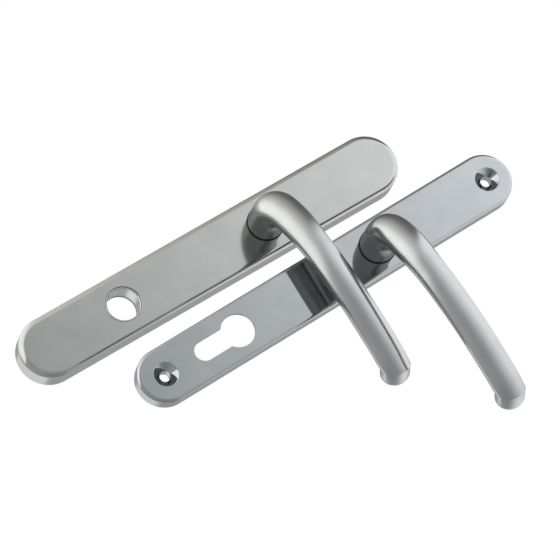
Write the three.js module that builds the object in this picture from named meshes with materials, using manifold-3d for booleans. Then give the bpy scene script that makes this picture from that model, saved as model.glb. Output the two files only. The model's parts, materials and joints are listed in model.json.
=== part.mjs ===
// A pair of lever door handles on long backplates, for a door with a euro-profile cylinder lock.
//
// The outside half has a deep blank cover over a steel plate, and a turning guard ring round the
// cylinder hole. The inside half is shallower, with a euro-profile cut-out and two countersunk
// screw holes. Both lie face up, side by side: the outside half with its back on z = 0 and the
// inside half higher, so that the outside lever passes over it.
//
// Units are millimetres. +X runs along the outside backplate, from the cylinder end to the
// spindle end, and +Z points out of the plates' faces. The origin is on the outside half's back
// plane, midway between its spindle axis and its cylinder axis.

import * as THREE from "three";
import { mergeVertices } from "three/addons/utils/BufferGeometryUtils.js";
import Module from "manifold-3d";

const wasm = await Module();
wasm.setup();

// ---- Driving dimensions -------------------------------------------------------------------

// Distances that the door, lock case and screws set.
const SPINDLE_TO_CYLINDER = 92;
const SCREW_CENTRES = 212;
const CYLINDER_TO_LOWER_SCREW = 46.7;
const SPINDLE_SQUARE = 8.15;

const SPINDLE_X = SPINDLE_TO_CYLINDER / 2;
const CYLINDER_X = -SPINDLE_X;
const LOWER_SCREW_X = CYLINDER_X - CYLINDER_TO_LOWER_SCREW;
const UPPER_SCREW_X = LOWER_SCREW_X + SCREW_CENTRES;

// Where the inside half lies beside the outside half, how high, and how it is turned.
const INSIDE_PLACE = { x: 36, y: -47.8, z: 30, turnDegrees: 1.2 };

// The two covers. "centre" is the middle of the cover's length.
const OUTSIDE = { length: 240, width: 34.5, thick: 14, wall: 2.5, rounding: 3, centre: 10.3 };
const INSIDE = { length: 241.5, width: 30.6, thick: 9.3, wall: 1.7, rounding: 1.9, centre: 12.3 };

// The steel plate behind the outside cover.
const STEEL_THICK = 2.2;
const STEEL_MARGIN = 2.9;

// The cylinder guard ring and the cover hole it turns in.
const GUARD_BORE_R = 8.9;
const GUARD_HOLE_R = 9.85;
const GUARD_HOLE_BEVEL = 0.35;
const GUARD_FRONT_R = 9.7;
const GUARD_RECESS = 0.5;
const GUARD_TUBE_R = 10.4;
const GUARD_FLANGE_R = 11.9;
const GUARD_RETAINER_R = 14.3;
const GUARD_FLANGE_THICK = 1.6;
const GUARD_BEVEL = 0.3;

// The euro-profile cut-out: a round head and a narrower tail.
const EURO_HEAD_R = 9.3;
const EURO_TAIL_R = 5.6;
const EURO_LENGTH = 36.5;

// Fixing posts in the outside half and countersunk holes in the inside half.
const POST_R = 4.5;
const POST_COLLAR_R = 6.5;
const POST_COLLAR_THICK = 1.2;
const POST_BORE_R = 2.1;
const COUNTERSINK_R = 6.8;
const SCREW_HOLE_R = 3;
const SCREW_BOSS_R = 8.4;

// The lever: a neck that rises from the plate, an elbow, and an arm that dips to a domed tip.
const NECK_R = 10;
const NECK_HOLE_R = 9;
const SPIGOT_R = 7.3;
const SPIGOT_LENGTH = 9.7;
const SPIGOT_FLAT = 6.3;
const SOCKET_DEPTH = 26;
const TIP_DOME = 6.5;

// The neck bush: a black collar between the lever and the cover, and a sleeve through the cover.
const BUSH_COLLAR_R = 10.3;
const BUSH_COLLAR_THICK = 0.5;
const BUSH_SLEEVE_R = 8.85;
const NECK_GAP = 0.7;

// The spring cassette behind each cover. Its height is counted from its own floor level, which
// lies this far below the lever's shoulder.
const CASSETTE_DROP = 9.5;
const HOUSING = { length: 48, width: 26.8, floor: 1.8, floorThick: 0.7, top: 6.2, wall: 1 };
const HOUSING_SCREW_X = 21;
const CAM_R = 10.2;
const CAM_TAB = { inner: 12.6, outer: 15, halfWidth: 2 };
const POCKET_HALF_ANGLE = 58;
const SPRING = { wireR: 0.45, coilR: 11.3, turns: 2, pitch: 0.95, legEnd: 17 };

const GAP = 0.1;
const FIT_GAP = 0.15;
const BIG = 400;
const ROUND = 32;
const SMALL_ROUND = 20;
const ARC_STEPS = 10;

// ---- Materials ----------------------------------------------------------------------------

const metal = (color, roughness) =>
  new THREE.MeshStandardMaterial({ color, roughness, metalness: 1 });

const SATIN_WARM = metal(0xb9b9b4, 0.3);
const SATIN_COOL = metal(0xb4b9be, 0.25);
const SATIN_LEVER = metal(0xbcbfc0, 0.35);
const BRIGHT = metal(0xd8dadb, 0.12);
const STEEL = metal(0x8f9498, 0.45);
const SPRING_STEEL = metal(0x6b6f73, 0.4);
const CAST = metal(0x9fa2a4, 0.55);
const BLACK_NYLON = new THREE.MeshStandardMaterial({ color: 0x1b1c1e, roughness: 0.6 });

// ---- Solids -------------------------------------------------------------------------------

// A closed three.js geometry as a solid, with its shared corners merged.
function solid(geometry) {
  geometry.deleteAttribute("normal");
  geometry.deleteAttribute("uv");
  const merged = mergeVertices(geometry, 1e-4);
  return new wasm.Manifold(
    new wasm.Mesh({
      numProp: 3,
      vertProperties: new Float32Array(merged.attributes.position.array),
      triVerts: new Uint32Array(merged.index.array),
    }),
  );
}

// A solid as a three.js geometry with flat shading normals.
function surface(body) {
  const mesh = body.getMesh();
  const geometry = new THREE.BufferGeometry();
  geometry.setAttribute("position", new THREE.BufferAttribute(mesh.vertProperties, 3));
  geometry.setIndex(new THREE.BufferAttribute(mesh.triVerts, 1));
  geometry.computeVertexNormals();
  return geometry;
}

// An upright round bar from z = low to z = high.
function bar(radius, low, high, x = 0, y = 0, segments = ROUND) {
  const geometry = new THREE.CylinderGeometry(radius, radius, high - low, segments);
  geometry.rotateX(Math.PI / 2);
  geometry.translate(x, y, (low + high) / 2);
  return solid(geometry);
}

// A block between two opposite corners.
function block(x0, x1, y0, y1, z0, z1) {
  const geometry = new THREE.BoxGeometry(x1 - x0, y1 - y0, z1 - z0);
  geometry.translate((x0 + x1) / 2, (y0 + y1) / 2, (z0 + z1) / 2);
  return solid(geometry);
}

// A flat shape raised from z = low to z = high.
function raised(shape, low, high) {
  const options = { depth: high - low, bevelEnabled: false, curveSegments: ARC_STEPS };
  const geometry = new THREE.ExtrudeGeometry(shape, options);
  geometry.translate(0, 0, low);
  return solid(geometry);
}

// A ring or stepped bush turned about Z from [radius, z] corners, listed anticlockwise.
function turned(corners, segments = ROUND) {
  const points = corners.map(([radius, z]) => new THREE.Vector2(radius, z));
  points.push(points[0].clone());
  const geometry = new THREE.LatheGeometry(points, segments);
  geometry.rotateX(Math.PI / 2);
  return solid(geometry);
}

// A plain ring with a rectangular section.
function ring(inner, outer, low, high, segments = ROUND) {
  return turned([[inner, low], [outer, low], [outer, high], [inner, high]], segments);
}

// The outline of a long plate with full round ends, centred on x = centre.
function longOutline(length, width, centre) {
  const reach = (length - width) / 2;
  const shape = new THREE.Shape();
  shape.absarc(centre + reach, 0, width / 2, -Math.PI / 2, Math.PI / 2, false);
  shape.absarc(centre - reach, 0, width / 2, Math.PI / 2, (3 * Math.PI) / 2, false);
  return shape;
}

// The euro-profile outline, with its round head on the cylinder axis and its tail towards -X.
function euroOutline() {
  const tailEnd = CYLINDER_X + EURO_HEAD_R - EURO_LENGTH + EURO_TAIL_R;
  const join = Math.asin(EURO_TAIL_R / EURO_HEAD_R);
  const shape = new THREE.Shape();
  shape.absarc(CYLINDER_X, 0, EURO_HEAD_R, -Math.PI + join, Math.PI - join, false);
  shape.absarc(tailEnd, 0, EURO_TAIL_R, Math.PI / 2, (3 * Math.PI) / 2, false);
  return shape;
}

// ---- Covers -------------------------------------------------------------------------------

// A hollow cover, open at the back, with its front edge rounded.
function coverShell({ length, width, thick, wall, rounding, centre }) {
  const body = new THREE.ExtrudeGeometry(longOutline(length, width, centre), {
    depth: thick - rounding,
    bevelThickness: rounding,
    bevelSize: rounding,
    bevelOffset: -rounding,
    bevelSegments: 3,
    curveSegments: ARC_STEPS,
  });
  const inside = longOutline(length - 2 * wall, width - 2 * wall, centre);
  return solid(body)
    .subtract(block(-BIG, BIG, -BIG, BIG, -BIG, 0))
    .subtract(raised(inside, -1, thick - wall));
}

// Blind holes in the back of a cover's front wall for the two cassette screws.
function withCassetteHoles(cover, { thick, wall }) {
  const ceiling = thick - wall;
  let body = cover;
  for (const side of [-1, 1]) {
    const x = SPINDLE_X + side * HOUSING_SCREW_X;
    body = body.subtract(bar(1.5, ceiling - 1, ceiling + 1.4, x, 0, SMALL_ROUND));
  }
  return body;
}

function outsideCover() {
  const ceiling = OUTSIDE.thick - OUTSIDE.wall;
  const seat = turned([
    [GUARD_FLANGE_R + 0.3, ceiling - GUARD_FLANGE_THICK - 0.3],
    [15, ceiling - GUARD_FLANGE_THICK - 0.3],
    [15, ceiling + 0.5],
    [GUARD_FLANGE_R + 0.3, ceiling + 0.5],
  ]).translate([CYLINDER_X, 0, 0]);
  const bevel = turned([
    [0, OUTSIDE.thick - GUARD_HOLE_BEVEL - GUARD_HOLE_R],
    [GUARD_HOLE_R + GUARD_HOLE_BEVEL + 1, OUTSIDE.thick + 1],
    [0, OUTSIDE.thick + 1],
  ]).translate([CYLINDER_X, 0, 0]);
  const cover = coverShell(OUTSIDE)
    .add(seat)
    .subtract(bar(GUARD_HOLE_R, 0, BIG, CYLINDER_X))
    .subtract(bevel)
    .subtract(bar(NECK_HOLE_R, 0, BIG, SPINDLE_X));
  return withCassetteHoles(cover, OUTSIDE);
}

function insideCover() {
  let cover = coverShell(INSIDE)
    .subtract(raised(euroOutline(), -1, BIG))
    .subtract(bar(NECK_HOLE_R, 0, BIG, SPINDLE_X));
  const sinkDepth = COUNTERSINK_R - SCREW_HOLE_R;
  for (const x of [LOWER_SCREW_X, UPPER_SCREW_X]) {
    const sink = turned([
      [0, INSIDE.thick - sinkDepth - SCREW_HOLE_R],
      [COUNTERSINK_R + 1, INSIDE.thick + 1],
      [0, INSIDE.thick + 1],
    ]).translate([x, 0, 0]);
    cover = cover
      .add(bar(SCREW_BOSS_R, 0, INSIDE.thick - 1, x))
      .subtract(bar(SCREW_HOLE_R, -1, BIG, x))
      .subtract(sink);
  }
  return withCassetteHoles(cover, INSIDE);
}

// ---- Outside half's own parts -------------------------------------------------------------

function steelPlate() {
  const { length, width, centre } = OUTSIDE;
  const outline = longOutline(length - 2 * STEEL_MARGIN, width - 2 * STEEL_MARGIN, centre);
  let plate = raised(outline, 0, STEEL_THICK)
    .subtract(bar(GUARD_BORE_R + GAP, -1, BIG, CYLINDER_X))
    .subtract(bar(SPIGOT_R + 0.7, -1, BIG, SPINDLE_X));
  for (const x of [LOWER_SCREW_X, UPPER_SCREW_X]) {
    plate = plate.subtract(bar(POST_R + FIT_GAP, -1, BIG, x));
  }
  return plate;
}

function fixingPost() {
  const top = OUTSIDE.thick - OUTSIDE.wall - GAP;
  const collar = STEEL_THICK + GAP;
  return turned([
    [POST_BORE_R, 0],
    [POST_R, 0],
    [POST_R, collar],
    [POST_COLLAR_R, collar],
    [POST_COLLAR_R, collar + POST_COLLAR_THICK],
    [POST_R, collar + POST_COLLAR_THICK],
    [POST_R, top],
    [0, top],
    [0, top - 1.5],
    [POST_BORE_R, top - 1.5],
  ], SMALL_ROUND);
}

function guardRing() {
  const face = OUTSIDE.thick - GUARD_RECESS;
  const ceiling = OUTSIDE.thick - OUTSIDE.wall - GAP;
  return turned([
    [GUARD_BORE_R, STEEL_THICK + 0.3],
    [GUARD_TUBE_R, STEEL_THICK + 0.3],
    [GUARD_TUBE_R, ceiling - GUARD_FLANGE_THICK],
    [GUARD_FLANGE_R, ceiling - GUARD_FLANGE_THICK],
    [GUARD_FLANGE_R, ceiling],
    [GUARD_FRONT_R, ceiling],
    [GUARD_FRONT_R, face],
    [GUARD_BORE_R + GUARD_BEVEL, face],
    [GUARD_BORE_R, face - GUARD_BEVEL],
  ]);
}

function guardRetainer() {
  const top = OUTSIDE.thick - OUTSIDE.wall - GUARD_FLANGE_THICK - 0.3 - GAP;
  return ring(GUARD_TUBE_R + 0.3, GUARD_RETAINER_R, top - 1, top, SMALL_ROUND);
}

// ---- Lever --------------------------------------------------------------------------------

// The lever's centreline seen from the side, as [reach from the hinge axis, height].
function leverSideCurve() {
  const at = (reach, height) => new THREE.Vector2(reach, height);
  const path = new THREE.CurvePath();
  path.add(new THREE.LineCurve(at(0, 0), at(0, 15)));
  path.add(new THREE.CubicBezierCurve(at(0, 15), at(0, 31), at(12, 38.8), at(32, 42.8)));
  path.add(new THREE.CubicBezierCurve(at(32, 42.8), at(46, 45.6), at(66, 47.6), at(90, 44.4)));
  path.add(new THREE.CubicBezierCurve(at(90, 44.4), at(98, 43.4), at(108.5, 43), at(115, 28.2)));
  return path;
}

// Half the arm's width and half its thickness along its length, as [fraction, width, thickness].
const LEVER_SECTIONS = [
  [0, NECK_R, NECK_R],
  [0.14, 9.7, 9.5],
  [0.28, 9.1, 8.4],
  [0.44, 8.3, 7.7],
  [1, 8.2, 7.6],
];

function leverSection(fraction) {
  let k = 1;
  while (k < LEVER_SECTIONS.length - 1 && fraction > LEVER_SECTIONS[k][0]) {
    k += 1;
  }
  const [f0, w0, t0] = LEVER_SECTIONS[k - 1];
  const [f1, w1, t1] = LEVER_SECTIONS[k];
  const blend = THREE.MathUtils.smoothstep(fraction, f0, f1);
  return [THREE.MathUtils.lerp(w0, w1, blend), THREE.MathUtils.lerp(t0, t1, blend)];
}

// The arm is a round bar of unit radius, bent along the centreline and given its section.
// Its last rings close in as a dome.
function leverArm() {
  const path = leverSideCurve();
  const total = path.getLength();
  const along = 30;
  const domeRings = 5;
  const geometry = new THREE.CylinderGeometry(1, 1, 1, SMALL_ROUND, along);
  const position = geometry.attributes.position;
  const vertex = new THREE.Vector3();
  for (let i = 0; i < position.count; i += 1) {
    vertex.fromBufferAttribute(position, i);
    const row = Math.round((vertex.y + 0.5) * along);
    const domeRow = Math.max(0, row - (along - domeRings));
    const domeAngle = (domeRow / domeRings) * (0.96 * Math.PI / 2);
    const straight = Math.min(row, along - domeRings) / (along - domeRings);
    const length = straight * (total - TIP_DOME) + Math.sin(domeAngle) * TIP_DOME;
    const fraction = Math.min(1, length / total);
    const planar = path.getPointAt(fraction);
    const slope = path.getTangentAt(fraction);
    const tangent = new THREE.Vector3(0, -slope.x, slope.y);
    const sideways = new THREE.Vector3(1, 0, 0);
    const outward = new THREE.Vector3().crossVectors(sideways, tangent);
    const [halfWidth, halfThick] = leverSection(fraction);
    const close = Math.cos(domeAngle);
    const centre = new THREE.Vector3(0, -planar.x, planar.y);
    centre.addScaledVector(sideways, vertex.x * halfWidth * close);
    centre.addScaledVector(outward, vertex.z * halfThick * close);
    position.setXYZ(i, centre.x, centre.y, centre.z);
  }
  return solid(geometry);
}

// A lever with its shoulder on z = 0 and its spigot, socket and circlip groove below.
function lever() {
  const groove = ring(6.5, SPIGOT_R + 1, -SPIGOT_LENGTH + 0.4, -SPIGOT_LENGTH + 1.3);
  const half = SPINDLE_SQUARE / 2;
  let body = leverArm().add(bar(SPIGOT_R, -SPIGOT_LENGTH, 1));
  for (const side of [-1, 1]) {
    const near = side * SPIGOT_FLAT;
    const far = side * BIG;
    const flat = block(Math.min(near, far), Math.max(near, far), -BIG, BIG, -SPIGOT_LENGTH - 1, -3.9);
    body = body.subtract(flat);
  }
  return body
    .subtract(groove)
    .subtract(block(-half, half, -half, half, -SPIGOT_LENGTH - 1, SOCKET_DEPTH - SPIGOT_LENGTH));
}

// ---- Spring cassette, in its own height ------------------------------------------------------

function neckBush(coverWall) {
  const face = CASSETTE_DROP - NECK_GAP;
  const inner = SPIGOT_R + FIT_GAP;
  const top = face + GAP + BUSH_COLLAR_THICK;
  return turned([
    [inner, face - coverWall + 0.1],
    [BUSH_SLEEVE_R, face - coverWall + 0.1],
    [BUSH_SLEEVE_R, face + GAP],
    [BUSH_COLLAR_R, face + GAP],
    [BUSH_COLLAR_R, top],
    [inner, top],
  ]);
}

// The room for the cam's tab to sweep and for the spring's legs.
function housingPocket() {
  const { floor, floorThick, top, width, wall } = HOUSING;
  const low = floor + floorThick;
  const sweepAngle = THREE.MathUtils.degToRad(POCKET_HALF_ANGLE);
  const reach = CAM_TAB.outer + 0.4;
  const sector = new THREE.Shape();
  sector.moveTo(0, 0);
  sector.lineTo(reach * Math.cos(sweepAngle), -reach * Math.sin(sweepAngle));
  sector.absarc(0, 0, reach, -sweepAngle, sweepAngle, false);
  return bar(width / 2 - wall, low, top + 1)
    .add(raised(sector, low, top + 1))
    .add(block(0, SPRING.legEnd + 0.6, -4, 4, low, top + 1))
    .intersect(block(-BIG, BIG, wall - width / 2, width / 2 - wall, -BIG, BIG));
}

function housing() {
  const { length, width, floor, floorThick, top } = HOUSING;
  const stop = block(CAM_TAB.outer + 0.5, SPRING.legEnd + 1, -2, 2, floor, top);
  let body = raised(longOutline(length, width, 0), floor, top)
    .subtract(housingPocket())
    .add(stop)
    .subtract(bar(SPIGOT_R + 0.3, -1, floor + floorThick + 1));
  for (const side of [-1, 1]) {
    body = body.subtract(bar(1.5, -1, BIG, side * HOUSING_SCREW_X, 0, SMALL_ROUND));
  }
  return body;
}

function driveCam() {
  const { floor, floorThick, top } = HOUSING;
  const low = floor + floorThick + FIT_GAP;
  const bridge = top - 0.6;
  const { inner, outer, halfWidth } = CAM_TAB;
  const hole = bar(SPIGOT_R + FIT_GAP, -1, BIG).intersect(
    block(-SPIGOT_FLAT - FIT_GAP, SPIGOT_FLAT + FIT_GAP, -BIG, BIG, -BIG, BIG),
  );
  // The spigot is fully round again just above the cam's hub, so the hub stops short of it.
  return bar(CAM_R, low, 5.4)
    .subtract(hole)
    .add(ring(9, CAM_R, 5, top - 0.1))
    .add(block(9.4, outer, -halfWidth, halfWidth, bridge, top - 0.1))
    .add(block(inner, outer, -halfWidth, halfWidth, low + 0.3, top - 0.1));
}

// A torsion spring whose two legs lie either side of the cam's tab and the housing's stop.
function returnSpring() {
  const { wireR, coilR, turns, pitch, legEnd } = SPRING;
  const low = HOUSING.floor + HOUSING.floorThick + FIT_GAP + wireR;
  const legY = CAM_TAB.halfWidth + wireR + FIT_GAP;
  const start = Math.asin((legY + 2 * wireR) / coilR);
  const sweep = turns * 2 * Math.PI - 2 * start;
  const high = low + turns * pitch;
  const coilSteps = 24;
  const points = [new THREE.Vector3(legEnd, legY, low)];
  for (let i = 0; i <= coilSteps; i += 1) {
    const angle = start + (sweep * i) / coilSteps;
    const rise = low + ((high - low) * i) / coilSteps;
    points.push(new THREE.Vector3(coilR * Math.cos(angle), coilR * Math.sin(angle), rise));
  }
  points.push(new THREE.Vector3(legEnd, -legY, high));
  const wire = new THREE.Shape();
  wire.absarc(0, 0, wireR, 0, 2 * Math.PI, false);
  const path = new THREE.CatmullRomCurve3(points, false, "centripetal");
  return solid(
    new THREE.ExtrudeGeometry(wire, { steps: 56, extrudePath: path, curveSegments: 3 }),
  );
}

function thrustWasher() {
  return ring(SPIGOT_R + FIT_GAP, 11, 1.2, HOUSING.floor - GAP, SMALL_ROUND);
}

// A ring with a gap that snaps into the spigot's groove, with two lugs for pliers.
function circlip() {
  const lug = (y) => bar(1.5, 0.35, 1, 8.6, y, SMALL_ROUND).subtract(bar(0.6, 0, 2, 8.6, y, SMALL_ROUND));
  return ring(6.6, 8.8, 0.35, 1)
    .subtract(block(0, 12, -1.2, 1.2, 0, 2))
    .add(lug(2.7))
    .add(lug(-2.7));
}

// A small cross-head screw, head towards the back and shank through the housing.
function housingScrew(coverWall) {
  const ceiling = CASSETTE_DROP - NECK_GAP - coverWall;
  const headHigh = HOUSING.floor - GAP;
  const headLow = headHigh - 1.4;
  const slot = 0.35;
  return bar(2.7, headLow, headHigh, 0, 0, SMALL_ROUND)
    .add(bar(1.3, headHigh - 0.2, ceiling + 1.2, 0, 0, SMALL_ROUND))
    .subtract(block(-1.6, 1.6, -slot, slot, headLow - 1, headLow + 0.8))
    .subtract(block(-slot, slot, -1.6, 1.6, headLow - 1, headLow + 0.8));
}

// ---- Assembly -----------------------------------------------------------------------------

function place(parent, name, body, material, x = 0, y = 0, z = 0) {
  const mesh = new THREE.Mesh(surface(body), material);
  mesh.name = name;
  mesh.position.set(x, y, z);
  parent.add(mesh);
  return mesh;
}

// The lever and its cassette for one half, hung on the spindle axis.
function addLeverSet(parent, side, cover, leverTurn) {
  const shoulder = cover.thick + NECK_GAP;
  const base = shoulder - CASSETTE_DROP;
  const turning = new THREE.Group();
  turning.position.set(SPINDLE_X, 0, 0);
  turning.rotation.z = leverTurn;
  parent.add(turning);
  place(turning, `${side}_lever`, lever(), SATIN_LEVER, 0, 0, shoulder);
  place(turning, `${side}_drive_cam`, driveCam(), STEEL, 0, 0, base);
  place(turning, `${side}_thrust_washer`, thrustWasher(), STEEL, 0, 0, base);
  place(turning, `${side}_circlip`, circlip(), SPRING_STEEL, 0, 0, base);
  place(parent, `${side}_neck_bush`, neckBush(cover.wall), BLACK_NYLON, SPINDLE_X, 0, base);
  place(parent, `${side}_spring_housing`, housing(), CAST, SPINDLE_X, 0, base);
  place(parent, `${side}_return_spring`, returnSpring(), SPRING_STEEL, SPINDLE_X, 0, base);
  for (const [end, sign] of [["lower", -1], ["upper", 1]]) {
    const x = SPINDLE_X + sign * HOUSING_SCREW_X;
    place(parent, `${side}_housing_screw_${end}`, housingScrew(cover.wall), STEEL, x, 0, base);
  }
}

function outsideHalf() {
  const half = new THREE.Group();
  place(half, "outside_cover", outsideCover(), SATIN_WARM);
  place(half, "outside_steel_plate", steelPlate(), STEEL);
  place(half, "lower_fixing_post", fixingPost(), STEEL, LOWER_SCREW_X);
  place(half, "upper_fixing_post", fixingPost(), STEEL, UPPER_SCREW_X);
  place(half, "cylinder_guard_ring", guardRing(), BRIGHT, CYLINDER_X);
  place(half, "guard_retaining_ring", guardRetainer(), SPRING_STEEL, CYLINDER_X);
  addLeverSet(half, "outside", OUTSIDE, 0);
  return half;
}

// The inside lever lies parallel to the outside one, so it undoes the turn of its own plate.
function insideHalf() {
  const turn = THREE.MathUtils.degToRad(INSIDE_PLACE.turnDegrees);
  const half = new THREE.Group();
  half.position.set(INSIDE_PLACE.x, INSIDE_PLACE.y, INSIDE_PLACE.z);
  half.rotation.z = turn;
  place(half, "inside_cover", insideCover(), SATIN_COOL);
  addLeverSet(half, "inside", INSIDE, -turn);
  return half;
}

const handles = new THREE.Group();
handles.add(outsideHalf());
handles.add(insideHalf());

export default handles;
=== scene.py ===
"""The looks of a set of lever door handles: an outside half and an inside half, lying face up.

Lengths are written in millimetres and turned into Blender's metres where a mesh is made. Places come
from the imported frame: the joints give the spindle and cylinder axes, and the boxes give the covers.
"""

import json
import math

import bmesh
import bpy
from mathutils import Matrix, Vector


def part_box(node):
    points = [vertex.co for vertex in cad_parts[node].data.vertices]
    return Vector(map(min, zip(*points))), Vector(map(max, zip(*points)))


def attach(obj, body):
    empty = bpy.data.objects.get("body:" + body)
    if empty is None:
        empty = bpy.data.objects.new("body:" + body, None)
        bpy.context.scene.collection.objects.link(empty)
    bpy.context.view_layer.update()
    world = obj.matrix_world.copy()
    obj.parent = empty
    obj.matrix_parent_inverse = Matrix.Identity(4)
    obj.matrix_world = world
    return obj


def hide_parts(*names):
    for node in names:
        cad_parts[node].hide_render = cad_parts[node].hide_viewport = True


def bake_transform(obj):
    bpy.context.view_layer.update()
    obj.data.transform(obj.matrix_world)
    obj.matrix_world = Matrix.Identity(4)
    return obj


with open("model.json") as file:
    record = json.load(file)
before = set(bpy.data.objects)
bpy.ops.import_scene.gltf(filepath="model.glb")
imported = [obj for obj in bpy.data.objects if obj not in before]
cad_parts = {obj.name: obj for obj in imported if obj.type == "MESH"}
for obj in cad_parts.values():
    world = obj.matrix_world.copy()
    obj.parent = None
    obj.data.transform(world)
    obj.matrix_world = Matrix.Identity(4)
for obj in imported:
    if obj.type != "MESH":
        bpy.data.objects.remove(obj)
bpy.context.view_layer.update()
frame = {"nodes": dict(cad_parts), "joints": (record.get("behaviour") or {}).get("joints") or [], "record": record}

MM = 0.001

# ---- Places and sizes read from the frame --------------------------------------------------


def box_mm(node):
    """Lowest and highest corner of a CAD node, in millimetres."""
    low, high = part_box(node)
    return low / MM, high / MM


def joint_place(name):
    """Where a joint's axis meets the back plane of its half, in millimetres."""
    joint = next(j for j in frame["joints"] if j["name"] == name)
    return Vector(joint["pos_m"]) / MM


def mount_place(name):
    mount = next(m for m in frame["record"]["mounts"] if m["name"] == name)
    return Vector(mount["pos_m"]) / MM


OUTSIDE_HUB = joint_place("outside_lever_turn")
INSIDE_HUB = joint_place("inside_lever_turn")
CYLINDER = joint_place("guard_ring_spin")
SPINDLE_X = OUTSIDE_HUB.x
CYLINDER_X = CYLINDER.x


def inside_half_matrix():
    """The inside half's own place: its turn runs from its lower screw to its upper one."""
    along = mount_place("inside_upper_screw_face") - mount_place("inside_lower_screw_face")
    turn = Matrix.Rotation(math.atan2(along.y, along.x), 4, "Z")
    return Matrix.Translation(INSIDE_HUB - turn @ Vector((SPINDLE_X, 0, 0))) @ turn


OUTSIDE_HALF = Matrix.Identity(4)
INSIDE_HALF = inside_half_matrix()


def heights(node, half):
    """Lowest and highest z of a CAD node, from the back plane of its half."""
    low, high = box_mm(node)
    return low.z - half.translation.z, high.z - half.translation.z


def cover_sizes(node, half):
    """Length, width, thickness and middle of a cover, from its box and its half's turn."""
    low, high = box_mm(node)
    size = high - low
    turn = math.atan2(half[1][0], half[0][0])
    straight = (size.x - size.y) / (math.cos(turn) - math.sin(turn))
    width = size.y - straight * math.sin(turn)
    middle = half.inverted() @ ((low + high) / 2)
    return {"length": straight + width, "width": width, "thick": size.z, "centre": middle.x}


OUTSIDE = cover_sizes("outside_cover", OUTSIDE_HALF) | {"wall": 2.5, "rounding": 3.0}
INSIDE = cover_sizes("inside_cover", INSIDE_HALF) | {"wall": 1.7, "rounding": 1.9}

SCREWS_X = [
    (INSIDE_HALF.inverted() @ mount_place(f"inside_{end}_screw_face")).x
    for end in ("lower", "upper")
]

# Sizes that the frame doesn't give by itself.
GUARD_HOLE_R = 9.85
GUARD_HOLE_BEVEL = 0.35
EURO_HEAD_R = 9.3
EURO_TAIL_R = 5.6
EURO_LENGTH = 36.5
COUNTERSINK_R = 6.8
SCREW_HOLE_R = 3.0
SCREW_BOSS_R = 8.4
NECK_HOLE_R = 9.0
NECK_R = 10.0
SPIGOT_R = 7.3
SPIGOT_LENGTH = 9.7
SPIGOT_FLAT = 6.3
SPINDLE_SQUARE = 8.15
SOCKET_DEPTH = 26
TIP_DOME = 6.5
STEEL_MARGIN = 2.9
HOUSING_LENGTH = 48
HOUSING_WIDTH = 26.8
HOUSING_POCKET_R = 12.4
HOUSING_SCREW_REACH = 21

# Long enough to pass through anything.
BIG = 400

# ---- Mesh making ---------------------------------------------------------------------------


def new_piece(name, vertices, faces, place):
    """A closed mesh from points in millimetres, moved by a half's matrix, with faces outwards."""
    mesh = bpy.data.meshes.new(name)
    mesh.from_pydata([place @ Vector(v) * MM for v in vertices], [], faces)
    shell = bmesh.new()
    shell.from_mesh(mesh)
    bmesh.ops.recalc_face_normals(shell, faces=shell.faces)
    shell.to_mesh(mesh)
    shell.free()
    piece = bpy.data.objects.new(name, mesh)
    bpy.context.scene.collection.objects.link(piece)
    return piece


def loft(name, rings, place):
    """A solid skinned over rings of points, closed flat at both ends."""
    count = len(rings[0])
    vertices = [point for ring in rings for point in ring]
    faces = [tuple(range(count))]
    for row in range(len(rings) - 1):
        start = row * count
        for k in range(count):
            after = (k + 1) % count
            faces.append((start + k, start + after, start + count + after, start + count + k))
    last = (len(rings) - 1) * count
    faces.append(tuple(range(last, last + count)))
    return new_piece(name, vertices, faces, place)


def spun(name, corners, place, centre=(0, 0), steps=128):
    """A solid turned about an upright axis from a closed outline of (radius, height) corners."""
    vertices = []
    starts = []
    for radius, height in corners:
        starts.append(len(vertices))
        around = steps if radius > 0 else 1
        for k in range(around):
            angle = 2 * math.pi * k / steps
            x = centre[0] + radius * math.cos(angle)
            y = centre[1] + radius * math.sin(angle)
            vertices.append((x, y, height))
    faces = []
    for i, (radius, _) in enumerate(corners):
        j = (i + 1) % len(corners)
        here, there = radius > 0, corners[j][0] > 0
        for k in range(steps if here or there else 0):
            after = (k + 1) % steps
            low = [starts[i] + k, starts[i] + after] if here else [starts[i]]
            high = [starts[j] + after, starts[j] + k] if there else [starts[j]]
            faces.append(tuple(low + high))
    return new_piece(name, vertices, faces, place)


def softened(corners, radius, steps=4):
    """The same closed outline with each corner off the axis rounded."""
    soft = []
    count = len(corners)
    for i, corner in enumerate(corners):
        here = Vector(corner)
        before = Vector(corners[i - 1]) - here
        after = Vector(corners[(i + 1) % count]) - here
        reach = min(radius, before.length * 0.45, after.length * 0.45)
        if here.x <= 0 or reach < 0.01:
            soft.append(tuple(here))
            continue
        start = here + before.normalized() * reach
        end = here + after.normalized() * reach
        for k in range(steps + 1):
            t = k / steps
            point = start.lerp(here, t).lerp(here.lerp(end, t), t)
            soft.append(tuple(point))
    return soft


def bar(name, radius, low, high, place, centre=(0, 0), steps=96):
    corners = [(0, low), (radius, low), (radius, high), (0, high)]
    return spun(name, corners, place, centre, steps)


def block(name, x0, x1, y0, y1, z0, z1, place):
    corners = [(x0, y0), (x1, y0), (x1, y1), (x0, y1)]
    return loft(name, [[(x, y, z) for x, y in corners] for z in (z0, z1)], place)


def long_outline(length, width, centre, inset=0.0, steps=64, straight=24):
    """Points round a plate with full round ends, drawn in from its edge by inset."""
    reach = (length - width) / 2
    radius = width / 2 - inset
    points = []
    for side in (1, -1):
        for k in range(steps + 1):
            angle = math.pi * k / steps - side * math.pi / 2
            x = centre + side * reach + radius * math.cos(angle)
            points.append((x, radius * math.sin(angle)))
        for k in range(1, straight):
            x = centre + side * reach * (1 - 2 * k / straight)
            points.append((x, side * radius))
    return points


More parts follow.
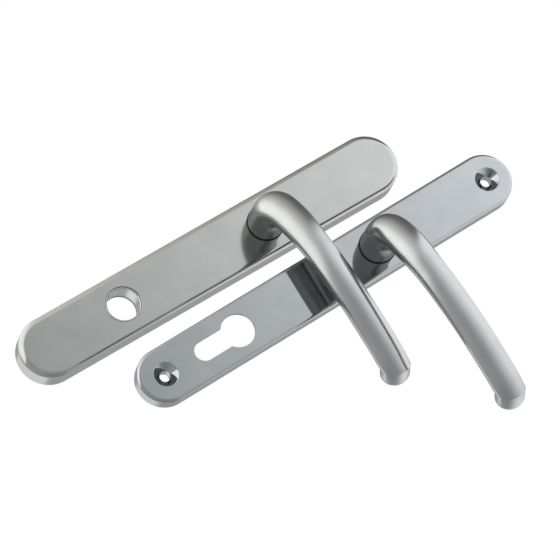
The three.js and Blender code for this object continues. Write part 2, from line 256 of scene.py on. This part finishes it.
def euro_outline(out=0.0, head_steps=64, tail_steps=32):
    """Points round the euro profile, grown by out."""
    head, tail = EURO_HEAD_R + out, EURO_TAIL_R + out
    tail_x = CYLINDER_X + EURO_HEAD_R - EURO_LENGTH + EURO_TAIL_R
    join = math.asin(tail / head)
    points = []
    for k in range(head_steps + 1):
        angle = (join - math.pi) + (2 * math.pi - 2 * join) * k / head_steps
        points.append((CYLINDER_X + head * math.cos(angle), head * math.sin(angle)))
    for k in range(tail_steps + 1):
        angle = math.pi / 2 + math.pi * k / tail_steps
        points.append((tail_x + tail * math.cos(angle), tail * math.sin(angle)))
    return points


def slab(name, outline, low, high, edge, place):
    """A flat plate with softened edges. outline(inset) gives its points."""
    levels = [(edge, low), (edge * 0.3, low + edge * 0.3), (0, low + edge)]
    levels += [(0, high - edge), (edge * 0.3, high - edge * 0.3), (edge, high)]
    return loft(name, [[(x, y, z) for x, y in outline(inset)] for inset, z in levels], place)


def joined(target, tool, operation="DIFFERENCE"):
    """Cuts tool from target, or adds it, and deletes tool."""
    modifier = target.modifiers.new("cut", "BOOLEAN")
    modifier.operation = operation
    modifier.solver = "EXACT"
    modifier.object = tool
    graph = bpy.context.evaluated_depsgraph_get()
    result = bpy.data.meshes.new_from_object(target.evaluated_get(graph))
    target.modifiers.remove(modifier)
    old = target.data
    target.data = result
    bpy.data.meshes.remove(old)
    bpy.data.objects.remove(tool)
    return target


def finish_surface(piece, body, slot, material, *nodes, sharp=32):
    """Shades a piece, gives it its material and body, and lets it stand for its CAD node."""
    mesh = piece.data
    mesh.shade_smooth()
    mesh.set_sharp_from_angle(angle=math.radians(sharp))
    weighted = piece.modifiers.new("normals", "WEIGHTED_NORMAL")
    weighted.mode = "FACE_AREA"
    weighted.weight = 100
    weighted.keep_sharp = True
    mesh.materials.clear()
    mesh.materials.append(material)
    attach(piece, body)
    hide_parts(*nodes)
    return piece


# ---- Materials -----------------------------------------------------------------------------


class Nodes:
    """A short way to build one material's node tree."""

    def __init__(self, name):
        self.material = bpy.data.materials.new(name)
        self.material.use_nodes = True
        self.tree = self.material.node_tree
        self.shader = self.tree.nodes["Principled BSDF"]

    def add(self, kind, **values):
        node = self.tree.nodes.new(kind)
        for key, value in values.items():
            if key in node.inputs:
                node.inputs[key].default_value = value
            else:
                setattr(node, key, value)
        return node

    def link(self, source, target):
        self.tree.links.new(source, target)

    def stretched_noise(self, stretch, scale, detail=3.0, roughness=0.55):
        """Noise in the frame's own metres, drawn out along the axes where stretch is small."""
        place = self.add("ShaderNodeTexCoord")
        mapping = self.add("ShaderNodeMapping", Scale=stretch)
        noise = self.add("ShaderNodeTexNoise", Scale=scale, Detail=detail, Roughness=roughness)
        self.link(place.outputs["Object"], mapping.inputs["Vector"])
        self.link(mapping.outputs["Vector"], noise.inputs["Vector"])
        return noise.outputs["Fac"]

    def spread(self, source, low, high):
        """Noise, which sits near a half, drawn out to run from low to high."""
        ramp = self.add("ShaderNodeMapRange")
        ramp.inputs["From Min"].default_value = 0.3
        ramp.inputs["From Max"].default_value = 0.7
        ramp.inputs["To Min"].default_value = low
        ramp.inputs["To Max"].default_value = high
        self.link(source, ramp.inputs["Value"])
        return ramp.outputs["Result"]

    def tint(self, source, dark, light):
        """A colour between dark and light."""
        mix = self.add("ShaderNodeMix", data_type="RGBA")
        mix.inputs["A"].default_value = (*dark, 1)
        mix.inputs["B"].default_value = (*light, 1)
        self.link(source, mix.inputs["Factor"])
        return mix.outputs["Result"]

    def bump(self, source, distance, strength=1.0):
        bump = self.add("ShaderNodeBump", Strength=strength, Distance=distance)
        self.link(source, bump.inputs["Height"])
        self.link(bump.outputs["Normal"], self.shader.inputs["Normal"])


def plated_metal(name, colour, roughness, grain, grain_depth=2e-7, cloud=0.03):
    """Plated metal: fine grain along one axis, faint cloudiness, and a little uneven polish."""
    nodes = Nodes(name)
    fine = nodes.stretched_noise(grain, 1.0, detail=2.0)
    cloudy = nodes.stretched_noise((1, 1, 1), 60.0, detail=2.0)
    dark = [max(0.0, c - cloud) for c in colour]
    light = [min(1.0, c + cloud) for c in colour]
    mottled = nodes.spread(cloudy, 0.0, 1.0)
    nodes.link(nodes.tint(mottled, dark, light), nodes.shader.inputs["Base Color"])
    polish = nodes.spread(fine, roughness * 0.9, roughness * 1.1)
    nodes.link(polish, nodes.shader.inputs["Roughness"])
    nodes.shader.inputs["Metallic"].default_value = 1.0
    nodes.bump(fine, grain_depth)
    return nodes.material


def black_nylon():
    nodes = Nodes("black_nylon")
    speckle = nodes.stretched_noise((1, 1, 1), 2500.0)
    shade = nodes.tint(speckle, (0.012, 0.012, 0.013), (0.03, 0.03, 0.032))
    nodes.link(shade, nodes.shader.inputs["Base Color"])
    nodes.shader.inputs["Roughness"].default_value = 0.55
    nodes.bump(speckle, 2e-5, 0.3)
    return nodes.material


def cast_zinc():
    """As-cast zinc: dull, with a sandy skin."""
    nodes = Nodes("cast_zinc")
    skin = nodes.stretched_noise((1, 1, 1), 900.0, detail=5.0)
    broad = nodes.stretched_noise((1, 1, 1), 90.0)
    nodes.link(nodes.tint(broad, (0.36, 0.37, 0.38), (0.5, 0.51, 0.52)), nodes.shader.inputs["Base Color"])
    nodes.link(nodes.spread(skin, 0.42, 0.62), nodes.shader.inputs["Roughness"])
    nodes.shader.inputs["Metallic"].default_value = 1.0
    nodes.bump(skin, 5e-5, 0.5)
    return nodes.material


ALONG_X = (60, 4000, 4000)
ALONG_Y = (4000, 60, 4000)
EVEN = (1500, 1500, 1500)

MATERIALS = {
    "satin_warm_cover": plated_metal("satin_warm", (0.74, 0.745, 0.72), 0.12, ALONG_X),
    "satin_cool_cover": plated_metal("satin_cool", (0.665, 0.69, 0.705), 0.06, ALONG_X),
    "satin_lever": plated_metal("satin_lever", (0.73, 0.74, 0.735), 0.22, ALONG_Y),
    "bright_ring": plated_metal("bright_ring", (0.86, 0.87, 0.87), 0.06, EVEN, 5e-8, 0.01),
    "hardened_steel": plated_metal("hardened_steel", (0.42, 0.43, 0.45), 0.38, ALONG_X, 2e-6),
    "zinc_plated_steel": plated_metal("zinc_plated", (0.58, 0.59, 0.6), 0.3, EVEN, 1e-6, 0.05),
    "spring_steel": plated_metal("spring_steel", (0.3, 0.31, 0.33), 0.33, EVEN, 1e-6, 0.05),
    "cast_housing": cast_zinc(),
    "black_nylon": black_nylon(),
}

SLOT_OF = {part["node"]: part["material_slot"] for part in frame["record"]["subparts"]}


def dress(piece, body, node, sharp=32):
    slot = SLOT_OF[node]
    return finish_surface(piece, body, slot, MATERIALS[slot], node, sharp=sharp)


# ---- Covers --------------------------------------------------------------------------------


def cover_shell(name, sizes, place):
    """The hollow cover, skinned from its ceiling inside, round its rim, to its front face."""
    wall, thick, rounding = sizes["wall"], sizes["thick"], sizes["rounding"]
    levels = [
        (wall, thick - wall),
        (wall, 0.25),
        (wall - 0.2, 0),
        (0.3, 0),
        (0, 0.3),
        (0, thick - rounding - 0.6),
    ]
    arc_steps = 16
    for k in range(arc_steps + 1):
        angle = math.pi / 2 * k / arc_steps
        inset = rounding * (1 - math.cos(angle))
        levels.append((inset, thick - rounding * (1 - math.sin(angle))))
    levels.append((rounding + 0.5, thick))

    def ring(inset, z):
        points = long_outline(sizes["length"], sizes["width"], sizes["centre"], inset)
        return [(x, y, z) for x, y in points]

    return loft(name, [ring(inset, z) for inset, z in levels], place)


def hole_tool(radius, low, face, soft, place, x):
    """A cutter for a round hole whose mouth at the face is softened."""
    corners = [(0, low), (radius, low)]
    steps = 5
    for k in range(steps + 1):
        angle = math.pi / 2 * k / steps
        corners.append((radius + soft * (1 - math.cos(angle)), face - soft * (1 - math.sin(angle))))
    corners += [(radius + soft, face + 1), (0, face + 1)]
    return spun("tool", corners, place, (x, 0))


def outside_cover():
    thick, ceiling = OUTSIDE["thick"], OUTSIDE["thick"] - OUTSIDE["wall"]
    cover = cover_shell("outside_cover_skin", OUTSIDE, OUTSIDE_HALF)
    seat = [(12.2, ceiling - 1.9), (15, ceiling - 1.9), (15, ceiling + 0.5), (12.2, ceiling + 0.5)]
    joined(cover, spun("tool", seat, OUTSIDE_HALF, (CYLINDER_X, 0)), "UNION")
    joined(cover, hole_tool(GUARD_HOLE_R, -1, thick, GUARD_HOLE_BEVEL, OUTSIDE_HALF, CYLINDER_X))
    joined(cover, hole_tool(NECK_HOLE_R, -1, thick, 0.2, OUTSIDE_HALF, SPINDLE_X))
    return dress(cover, "backplates", "outside_cover")


def countersink_tool(x):
    """The screw hole with its polished cone."""
    face = INSIDE["thick"]
    soft = 0.3
    depth = COUNTERSINK_R - SCREW_HOLE_R
    corners = [
        (0, -1),
        (SCREW_HOLE_R, -1),
        (SCREW_HOLE_R, face - depth),
        (COUNTERSINK_R - soft, face - soft * 1.1),
        (COUNTERSINK_R - soft * 0.4, face - soft * 0.4),
        (COUNTERSINK_R + soft * 0.4, face),
        (COUNTERSINK_R + soft * 0.4, face + 1),
        (0, face + 1),
    ]
    return spun("tool", corners, INSIDE_HALF, (x, 0))


def euro_tool():
    face = INSIDE["thick"]
    levels = [(0, -1), (0, face - 0.3), (0.09, face - 0.1), (0.3, face), (0.3, face + 1)]
    rings = [[(x, y, z) for x, y in euro_outline(out)] for out, z in levels]
    return loft("tool", rings, INSIDE_HALF)


def inside_cover():
    thick = INSIDE["thick"]
    cover = cover_shell("inside_cover_skin", INSIDE, INSIDE_HALF)
    for x in SCREWS_X:
        boss = bar("tool", SCREW_BOSS_R, 0, thick - 1, INSIDE_HALF, (x, 0))
        joined(cover, boss, "UNION")
        joined(cover, countersink_tool(x))
    joined(cover, euro_tool())
    joined(cover, hole_tool(NECK_HOLE_R, -1, thick, 0.2, INSIDE_HALF, SPINDLE_X))
    return dress(cover, "backplates", "inside_cover")


# ---- Levers --------------------------------------------------------------------------------

LEVER_CURVES = [
    ((0, 0), (0, 5), (0, 10), (0, 15)),
    ((0, 15), (0, 31), (12, 38.8), (32, 42.8)),
    ((32, 42.8), (46, 45.6), (66, 47.6), (90, 44.4)),
    ((90, 44.4), (97.5, 43.5), (105, 42.4), (111.2, 40.4)),
    ((111.2, 40.4), (112.0, 36.6), (112.8, 32.7), (113.6, 28.8)),
]
CURVE_STEPS = 80

# The crease before the tip is worn down to this share of the lever's full section.
CREASE_SOFTENING = 0.965

# Half the lever's width and half its thickness, at fractions of its length.
LEVER_SECTIONS = [
    (0.0, NECK_R, NECK_R),
    (0.14, 9.7, 9.5),
    (0.28, 9.1, 8.4),
    (0.44, 8.3, 7.7),
    (1.0, 8.2, 7.6),
]


def lever_centreline():
    """Points along the lever's middle, seen from the side as (reach, height)."""
    points = []
    for curve in LEVER_CURVES:
        a, b, c, d = (Vector(p) for p in curve)
        for k in range(CURVE_STEPS):
            t = k / CURVE_STEPS
            s = 1 - t
            points.append(a * s**3 + b * 3 * s * s * t + c * 3 * s * t * t + d * t**3)
    points.append(Vector(LEVER_CURVES[-1][-1]))
    return points


def lever_section(fraction):
    for (f0, w0, t0), (f1, w1, t1) in zip(LEVER_SECTIONS, LEVER_SECTIONS[1:]):
        if fraction <= f1:
            share = (fraction - f0) / (f1 - f0)
            blend = share * share * (3 - 2 * share)
            return w0 + (w1 - w0) * blend, t0 + (t1 - t0) * blend
    return LEVER_SECTIONS[-1][1:]


def lever_rings(around=72, along=170, dome_rings=14):
    """Rings from the spigot's end, out over the shoulder, and along the arm to its domed tip."""

    def flat_ring(radius, z):
        turn = 2 * math.pi / around
        return [(radius * math.cos(k * turn), radius * math.sin(k * turn), z) for k in range(around)]

    groove_low, groove_high = 0.4 - SPIGOT_LENGTH, 1.3 - SPIGOT_LENGTH
    rings = [
        flat_ring(radius, z)
        for radius, z in (
            (SPIGOT_R - 0.3, -SPIGOT_LENGTH),
            (SPIGOT_R, 0.3 - SPIGOT_LENGTH),
            (SPIGOT_R, groove_low),
            (SPIGOT_R - 0.8, groove_low),
            (SPIGOT_R - 0.8, groove_high),
            (SPIGOT_R, groove_high),
            (SPIGOT_R, 0),
            (NECK_R - 0.4, 0),
            (NECK_R - 0.12, 0.12),
        )
    ]
    path = lever_centreline()
    lengths = [0.0]
    for before, after in zip(path, path[1:]):
        lengths.append(lengths[-1] + (after - before).length)
    total = lengths[-1]

    def at(length):
        k = min(range(len(lengths) - 1), key=lambda i: (lengths[i + 1] < length, i))
        share = min(1, (length - lengths[k]) / (lengths[k + 1] - lengths[k]))
        return path[k].lerp(path[k + 1], share)

    # The arm meets its tip in a crease, so one ring stands in the plane between the two. No
    # other ring is near enough to cross it on the underside.
    crease = lengths[CURVE_STEPS * (len(LEVER_CURVES) - 1)]
    crease_bend = (at(crease) - at(crease - 1)).angle(at(crease + 1) - at(crease))
    clear = lever_section(1.0)[1] * math.tan(crease_bend / 2) + 0.3
    start = 0.4
    stations = [(crease, 1.0)]
    for k in range(along + 1):
        length = start + (total - TIP_DOME - start) * k / along
        if abs(length - crease) > clear:
            stations.append((length, 1.0))
    stations.sort()
    for k in range(1, dome_rings + 1):
        angle = 0.97 * math.pi / 2 * k / dome_rings
        stations.append((total - TIP_DOME + TIP_DOME * math.sin(angle), math.cos(angle)))
    sideways = Vector((1, 0, 0))
    for length, close in stations:
        centre = at(length)
        run = at(min(total, length + 0.4)) - at(max(0, length - 0.4))
        tangent = Vector((0, -run.x, run.y)).normalized()
        outward = sideways.cross(tangent)
        half_width, half_thick = lever_section(length / total)
        if length == crease:
            half_thick *= CREASE_SOFTENING / math.cos(crease_bend / 2)
            half_width *= CREASE_SOFTENING
        middle = Vector((0, -centre.x, centre.y))
        ring = []
        for k in range(around):
            angle = 2 * math.pi * k / around
            side = math.cos(angle) * half_width * close
            out = math.sin(angle) * half_thick * close
            ring.append(middle + sideways * side - outward * out)
        rings.append(ring)
    return rings


def lever(name, hub, cad_node, body):
    shoulder = box_mm(cad_node)[0].z + SPIGOT_LENGTH
    place = Matrix.Translation((hub.x, hub.y, shoulder))
    piece = loft(name, lever_rings(), place)
    half = SPINDLE_SQUARE / 2
    bottom = -SPIGOT_LENGTH - 1
    for side in (-1, 1):
        near, far = sorted((side * SPIGOT_FLAT, side * 20))
        joined(piece, block("tool", near, far, -20, 20, bottom, -3.9, place))
    socket_top = SOCKET_DEPTH - SPIGOT_LENGTH
    joined(piece, block("tool", -half, half, -half, half, bottom, socket_top, place))
    return dress(piece, body, cad_node, sharp=40)


# ---- Pieces on the spindle axis ----------------------------------------------------------------


def neck_bush(name, cad_node, half):
    low, high = heights(cad_node, half)
    inner = SPIGOT_R + 0.15
    collar_low = high - 0.5
    corners = [
        (inner, low),
        (8.85, low),
        (8.85, collar_low),
        (10.3, collar_low),
        (10.3, high),
        (inner, high),
    ]
    piece = spun(name, softened(corners, 0.12), half, (SPINDLE_X, 0))
    return dress(piece, "backplates", cad_node)


def guard_ring():
    low, high = box_mm("cylinder_guard_ring")
    bore, tube, flange, front = 8.9, 10.4, 11.9, 9.7
    ceiling = OUTSIDE["thick"] - OUTSIDE["wall"] - 0.1
    corners = [
        (bore, low.z),
        (tube, low.z),
        (tube, ceiling - 1.6),
        (flange, ceiling - 1.6),
        (flange, ceiling),
        (front, ceiling),
        (front, high.z),
        (bore + 0.3, high.z),
        (bore, high.z - 0.3),
    ]
    piece = spun("guard_ring_skin", softened(corners, 0.15), OUTSIDE_HALF, (CYLINDER_X, 0), 160)
    return dress(piece, "guard_ring", "cylinder_guard_ring")


def plain_ring(name, cad_node, inner, place, centre, body):
    """A flat ring whose outside and height come from its CAD node."""
    low, high = box_mm(cad_node)
    outer = (high.x - low.x) / 2
    corners = [(inner, low.z), (outer, low.z), (outer, high.z), (inner, high.z)]
    piece = spun(name, softened(corners, 0.12), place, centre)
    return dress(piece, body, cad_node)


def fixing_post(name, cad_node, x):
    low, high = box_mm(cad_node)
    outer, bore, collar_low = 4.5, 2.1, 2.3
    corners = [
        (bore, low.z),
        (outer, low.z),
        (outer, collar_low),
        (6.5, collar_low),
        (6.5, collar_low + 1.2),
        (outer, collar_low + 1.2),
        (outer, high.z),
        (0, high.z),
        (0, high.z - 1.5),
        (bore, high.z - 1.5),
    ]
    piece = spun(name, softened(corners, 0.2), OUTSIDE_HALF, (x, 0), 64)
    return dress(piece, "backplates", cad_node)


def steel_plate():
    low, high = box_mm("outside_steel_plate")
    length, width = OUTSIDE["length"] - 2 * STEEL_MARGIN, OUTSIDE["width"] - 2 * STEEL_MARGIN

    def outline(inset):
        return long_outline(length, width, OUTSIDE["centre"], inset)

    plate = slab("steel_plate_skin", outline, low.z, high.z, 0.3, OUTSIDE_HALF)
    holes = [(9.0, CYLINDER_X), (SPIGOT_R + 0.7, SPINDLE_X)]
    holes += [(4.65, x) for x in SCREWS_X]
    for radius, x in holes:
        joined(plate, bar("tool", radius, -1, 4, OUTSIDE_HALF, (x, 0)))
    return dress(plate, "backplates", "outside_steel_plate")


def spring_housing(name, cad_node, half):
    """The cast cup behind the cover, with an ear for a screw at each end."""
    low, high = heights(cad_node, half)
    floor = low + 0.7
    centre = (SPINDLE_X, 0)

    def outline(inset):
        return long_outline(HOUSING_LENGTH, HOUSING_WIDTH, SPINDLE_X, inset)

    piece = slab(name, outline, low, high, 0.4, half)
    joined(piece, bar("tool", HOUSING_POCKET_R, floor, high + 1, half, centre))
    joined(piece, bar("tool", SPIGOT_R + 0.3, -BIG, floor + 1, half, centre))
    for side in (-1, 1):
        screw_x = SPINDLE_X + side * HOUSING_SCREW_REACH
        joined(piece, bar("tool", 1.5, -BIG, BIG, half, (screw_x, 0), 32))
    return dress(piece, "backplates", cad_node)


def circlip(name, cad_node, hub, body):
    """A ring with a gap and two eyes for the pliers."""
    low, high = box_mm(cad_node)
    place = Matrix.Translation((hub.x, hub.y, 0))
    corners = [(6.6, low.z), (8.8, low.z), (8.8, high.z), (6.6, high.z)]
    piece = spun(name, softened(corners, 0.12), place)
    joined(piece, block("tool", 0, 12, -1.2, 1.2, low.z - 1, high.z + 1, place))
    for y in (2.7, -2.7):
        eye = [(0.6, low.z), (1.5, low.z), (1.5, high.z), (0.6, high.z)]
        joined(piece, spun("tool", softened(eye, 0.1), place, (8.6, y), 32), "UNION")
        joined(piece, bar("tool", 0.6, low.z - 1, high.z + 1, place, (8.6, y), 32))
    return dress(piece, body, cad_node)


def housing_screw(name, cad_node, half):
    """A small pan head with a cross recess, its head towards the back."""
    corner, far_corner = box_mm(cad_node)
    middle = half.inverted() @ ((corner + far_corner) / 2)
    centre = (middle.x, middle.y)
    low, high = heights(cad_node, half)
    corners = [(0, low), (1.9, low), (2.5, low + 0.35), (2.7, low + 0.8)]
    corners += [(2.7, low + 1.4), (1.3, low + 1.4), (1.3, high), (0, high)]
    piece = spun(name, softened(corners, 0.15), half, centre, 48)
    x, y = centre
    for reach_x, reach_y in ((1.5, 0.3), (0.3, 1.5)):
        cross = block("tool", x - reach_x, x + reach_x, y - reach_y, y + reach_y, -BIG, low + 0.9, half)
        joined(piece, cross)
    return dress(piece, "backplates", cad_node)


def keep_cad_node(node):
    """A piece that is sealed inside keeps its CAD mesh, and gets its own material."""
    piece = frame["nodes"][node]
    slot = SLOT_OF[node]
    piece.data.materials.clear()
    piece.data.materials.append(MATERIALS[slot])


def return_spring(side):
    """A copy of the spring's CAD coil with its own material, fixed where it stands; the CAD node is hidden."""
    node = f"{side}_return_spring"
    slot = SLOT_OF[node]
    source = frame["nodes"][node]
    piece = bpy.data.objects.new(f"{node}_coil", source.data.copy())
    bpy.context.scene.collection.objects.link(piece)
    piece.matrix_world = source.matrix_world.copy()
    piece.data.materials.clear()
    piece.data.materials.append(MATERIALS[slot])
    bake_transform(piece)
    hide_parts(node)


# ---- The whole object ---------------------------------------------------------------------------


def lever_side(side, hub, half):
    body = f"{side}_lever_set"
    axis = Matrix.Translation((hub.x, hub.y, 0))
    lever(f"{side}_lever_skin", hub, f"{side}_lever", body)
    neck_bush(f"{side}_neck_bush_skin", f"{side}_neck_bush", half)
    spring_housing(f"{side}_spring_housing_skin", f"{side}_spring_housing", half)
    circlip(f"{side}_circlip_skin", f"{side}_circlip", hub, body)
    washer = f"{side}_thrust_washer"
    plain_ring(f"{washer}_skin", washer, SPIGOT_R + 0.15, axis, (0, 0), body)
    for end in ("lower", "upper"):
        node = f"{side}_housing_screw_{end}"
        housing_screw(f"{node}_skin", node, half)
    keep_cad_node(f"{side}_drive_cam")
    return_spring(side)


def build_object():
    outside_cover()
    inside_cover()
    steel_plate()
    guard_ring()
    retainer = "guard_retaining_ring"
    plain_ring(f"{retainer}_skin", retainer, 10.7, OUTSIDE_HALF, (CYLINDER_X, 0), "backplates")
    for end, x in zip(("lower", "upper"), SCREWS_X):
        fixing_post(f"{end}_fixing_post_skin", f"{end}_fixing_post", x)
    lever_side("outside", OUTSIDE_HUB, OUTSIDE_HALF)
    lever_side("inside", INSIDE_HUB, INSIDE_HALF)


# ---- Light, background and camera --------------------------------------------------------------

# The tent's brightness, as (degrees, brightness) stops. Degrees are counted from overhead, along
# the plates towards +X and across them towards +Y. The front half is on the levers' side of the
# seam, and the back half, which holds the big lamp, is behind the plates.
TENT_FRONT = [
    (-125, 0.36),
    (-72, 0.36),
    (-40, 0.33),
    (-12, 0.36),
    (24, 0.69),
    (54, 0.95),
    (120, 0.85),
]
TENT_BACK = [
    (-130, 0.26),
    (-114, 0.24),
    (-102, 0.68),
    (-72, 1.1),
    (-40, 1.08),
    (0, 0.64),
    (36, 0.32),
    (56, 0.18),
    (130, 0.16),
]

# The front half is dimmed to this share of itself, by the angle across the plates.
TENT_FRONT_FADE = [
    (-180, 0.75),
    (-130, 0.88),
    (-96, 0.85),
    (-60, 0.75),
    (-24, 0.92),
    (0, 1.0),
    (60, 1.0),
]

# The seam is a soft step between these angles across, and slants with the angle along.
TENT_SEAM = (19, 26)
TENT_SEAM_SLANT = 0.1

# The tent's bottom stands for the ground. It is bright on the plates' -X side and dim elsewhere.
# Its two edges are soft steps in the direction's own x and z.
FLOOR_BRIGHT, FLOOR_DIM = 0.74, 0.38
FLOOR_BRIGHT_EDGE = (0.36, 0.52)
FLOOR_TOP_EDGE = (-0.74, -0.6)

# Light that has been mirrored more than once is dimmed to this share, so the necks look dark.
TWICE_MIRRORED = 0.38

TENT_RADIUS = 400
TENT_CENTRE = (30, -30, 0)
FRONT_TINT = (0.975, 1.0, 1.015, 1)
BACK_TINT = (1.0, 1.0, 0.975, 1)

CAMERA_TARGET = (39.7, -28.0, 0)
CAMERA_DISTANCE = 3526
CAMERA_LENS = 423.5
CAMERA_AZIMUTH = -59.35
CAMERA_ELEVATION = 66.97
CAMERA_SLANT = 27.26


class Tent:
    """A ball of light round the object, in two graded halves, that the camera doesn't see."""

    def __init__(self):
        self.material = bpy.data.materials.new("tent")
        self.material.use_nodes = True
        self.material.cycles.emission_sampling = "NONE"
        self.tree = self.material.node_tree
        self.tree.nodes.clear()
        self.paint()
        bpy.ops.mesh.primitive_uv_sphere_add(
            segments=96,
            ring_count=48,
            radius=TENT_RADIUS * MM,
            location=Vector(TENT_CENTRE) * MM,
        )
        ball = bpy.context.object
        ball.name = "tent"
        ball.data.shade_smooth()
        ball.data.materials.append(self.material)
        ball.visible_camera = False
        ball.visible_shadow = False

    def math(self, operation, *sources):
        node = self.tree.nodes.new("ShaderNodeMath")
        node.operation = operation
        for socket, source in zip(node.inputs, sources):
            if isinstance(source, (int, float)):
                socket.default_value = source
            else:
                self.tree.links.new(source, socket)
        return node.outputs[0]

    def step(self, value, low, high):
        """0 below low and 1 above high, with a smooth rise between."""
        node = self.tree.nodes.new("ShaderNodeMapRange")
        node.interpolation_type = "SMOOTHSTEP"
        node.inputs["From Min"].default_value = low
        node.inputs["From Max"].default_value = high
        self.tree.links.new(value, node.inputs["Value"])
        return node.outputs["Result"]

    def graded(self, degrees, stops):
        """The brightness at an angle, on a smooth curve through the stops."""
        first, last = stops[0][0], stops[-1][0]
        share = self.tree.nodes.new("ShaderNodeMapRange")
        share.inputs["From Min"].default_value = first
        share.inputs["From Max"].default_value = last
        self.tree.links.new(degrees, share.inputs["Value"])
        ramp = self.tree.nodes.new("ShaderNodeFloatCurve")
        curve = ramp.mapping.curves[0]
        while len(curve.points) < len(stops):
            curve.points.new(0.5, 0.5)
        for point, (angle, value) in zip(curve.points, stops):
            point.location = ((angle - first) / (last - first), value / 2)
        ramp.mapping.update()
        self.tree.links.new(share.outputs["Result"], ramp.inputs["Value"])
        return self.math("MULTIPLY", ramp.outputs["Value"], 2)

    def between(self, low, high, share):
        change = self.math("MULTIPLY", self.math("SUBTRACT", high, low), share)
        return self.math("ADD", low, change)

    def paint(self):
        """Brightness by direction: two halves with a seam between, over the ground."""
        nodes, links = self.tree.nodes, self.tree.links
        place = nodes.new("ShaderNodeTexCoord")
        toward = nodes.new("ShaderNodeVectorMath")
        toward.operation = "NORMALIZE"
        links.new(place.outputs["Object"], toward.inputs[0])
        split = nodes.new("ShaderNodeSeparateXYZ")
        links.new(toward.outputs[0], split.inputs[0])
        x, y, z = split.outputs
        down = self.math("DEGREES", self.math("ARCCOSINE", z))
        x_squared, y_squared = self.math("MULTIPLY", x, x), self.math("MULTIPLY", y, y)
        level = self.math("SQRT", self.math("ADD", x_squared, y_squared))
        reach = self.math("DIVIDE", down, self.math("MAXIMUM", level, 0.001))
        along = self.math("MULTIPLY", x, reach)
        across = self.math("MULTIPLY", y, reach)
        slant = self.math("MULTIPLY", along, TENT_SEAM_SLANT)
        seam = self.step(self.math("SUBTRACT", across, slant), *TENT_SEAM)
        fade = self.graded(across, TENT_FRONT_FADE)
        front = self.math("MULTIPLY", self.graded(along, TENT_FRONT), fade)
        upper = self.between(front, self.graded(along, TENT_BACK), seam)
        lit = self.step(self.math("MULTIPLY", x, -1), *FLOOR_BRIGHT_EDGE)
        floor = self.between(FLOOR_DIM, FLOOR_BRIGHT, lit)
        open_light = self.between(floor, upper, self.step(z, *FLOOR_TOP_EDGE))
        path = nodes.new("ShaderNodeLightPath")
        twice = self.math("GREATER_THAN", path.outputs["Ray Depth"], 1.5)
        strength = self.math("MULTIPLY", open_light, self.between(1.0, TWICE_MIRRORED, twice))
        warmth = nodes.new("ShaderNodeMix")
        warmth.data_type = "RGBA"
        warmth.inputs["A"].default_value = FRONT_TINT
        warmth.inputs["B"].default_value = BACK_TINT
        links.new(seam, warmth.inputs["Factor"])
        glow = nodes.new("ShaderNodeEmission")
        links.new(warmth.outputs["Result"], glow.inputs["Color"])
        links.new(strength, glow.inputs["Strength"])
        out = nodes.new("ShaderNodeOutputMaterial")
        links.new(glow.outputs[0], out.inputs["Surface"])


def white_sky():
    """White behind everything, for the camera."""
    world = bpy.data.worlds.new("studio")
    bpy.context.scene.world = world
    world.use_nodes = True
    sky = world.node_tree.nodes["Background"]
    sky.inputs["Color"].default_value = (1, 1, 1, 1)
    bpy.context.scene.view_settings.view_transform = "Standard"


def camera():
    """A very long lens from high on the cylinder end's side, held at a slant."""
    data = bpy.data.cameras.new("camera")
    data.lens = CAMERA_LENS
    data.clip_start = 0.05
    data.clip_end = 20
    piece = bpy.data.objects.new("camera", data)
    bpy.context.scene.collection.objects.link(piece)
    azimuth, elevation = math.radians(CAMERA_AZIMUTH), math.radians(CAMERA_ELEVATION)
    back = Vector((
        math.sin(azimuth) * math.cos(elevation),
        -math.cos(azimuth) * math.cos(elevation),
        math.sin(elevation),
    ))
    level = Vector((math.cos(azimuth), math.sin(azimuth), 0))
    slant = Matrix.Rotation(math.radians(CAMERA_SLANT), 3, back)
    right = slant @ level
    up = back.cross(right)
    piece.location = (Vector(CAMERA_TARGET) + back * CAMERA_DISTANCE) * MM
    piece.rotation_mode = "QUATERNION"
    piece.rotation_quaternion = Matrix((right, up, back)).transposed().to_quaternion()
    bpy.context.scene.camera = piece


build_object()
white_sky()
Tent()
camera()
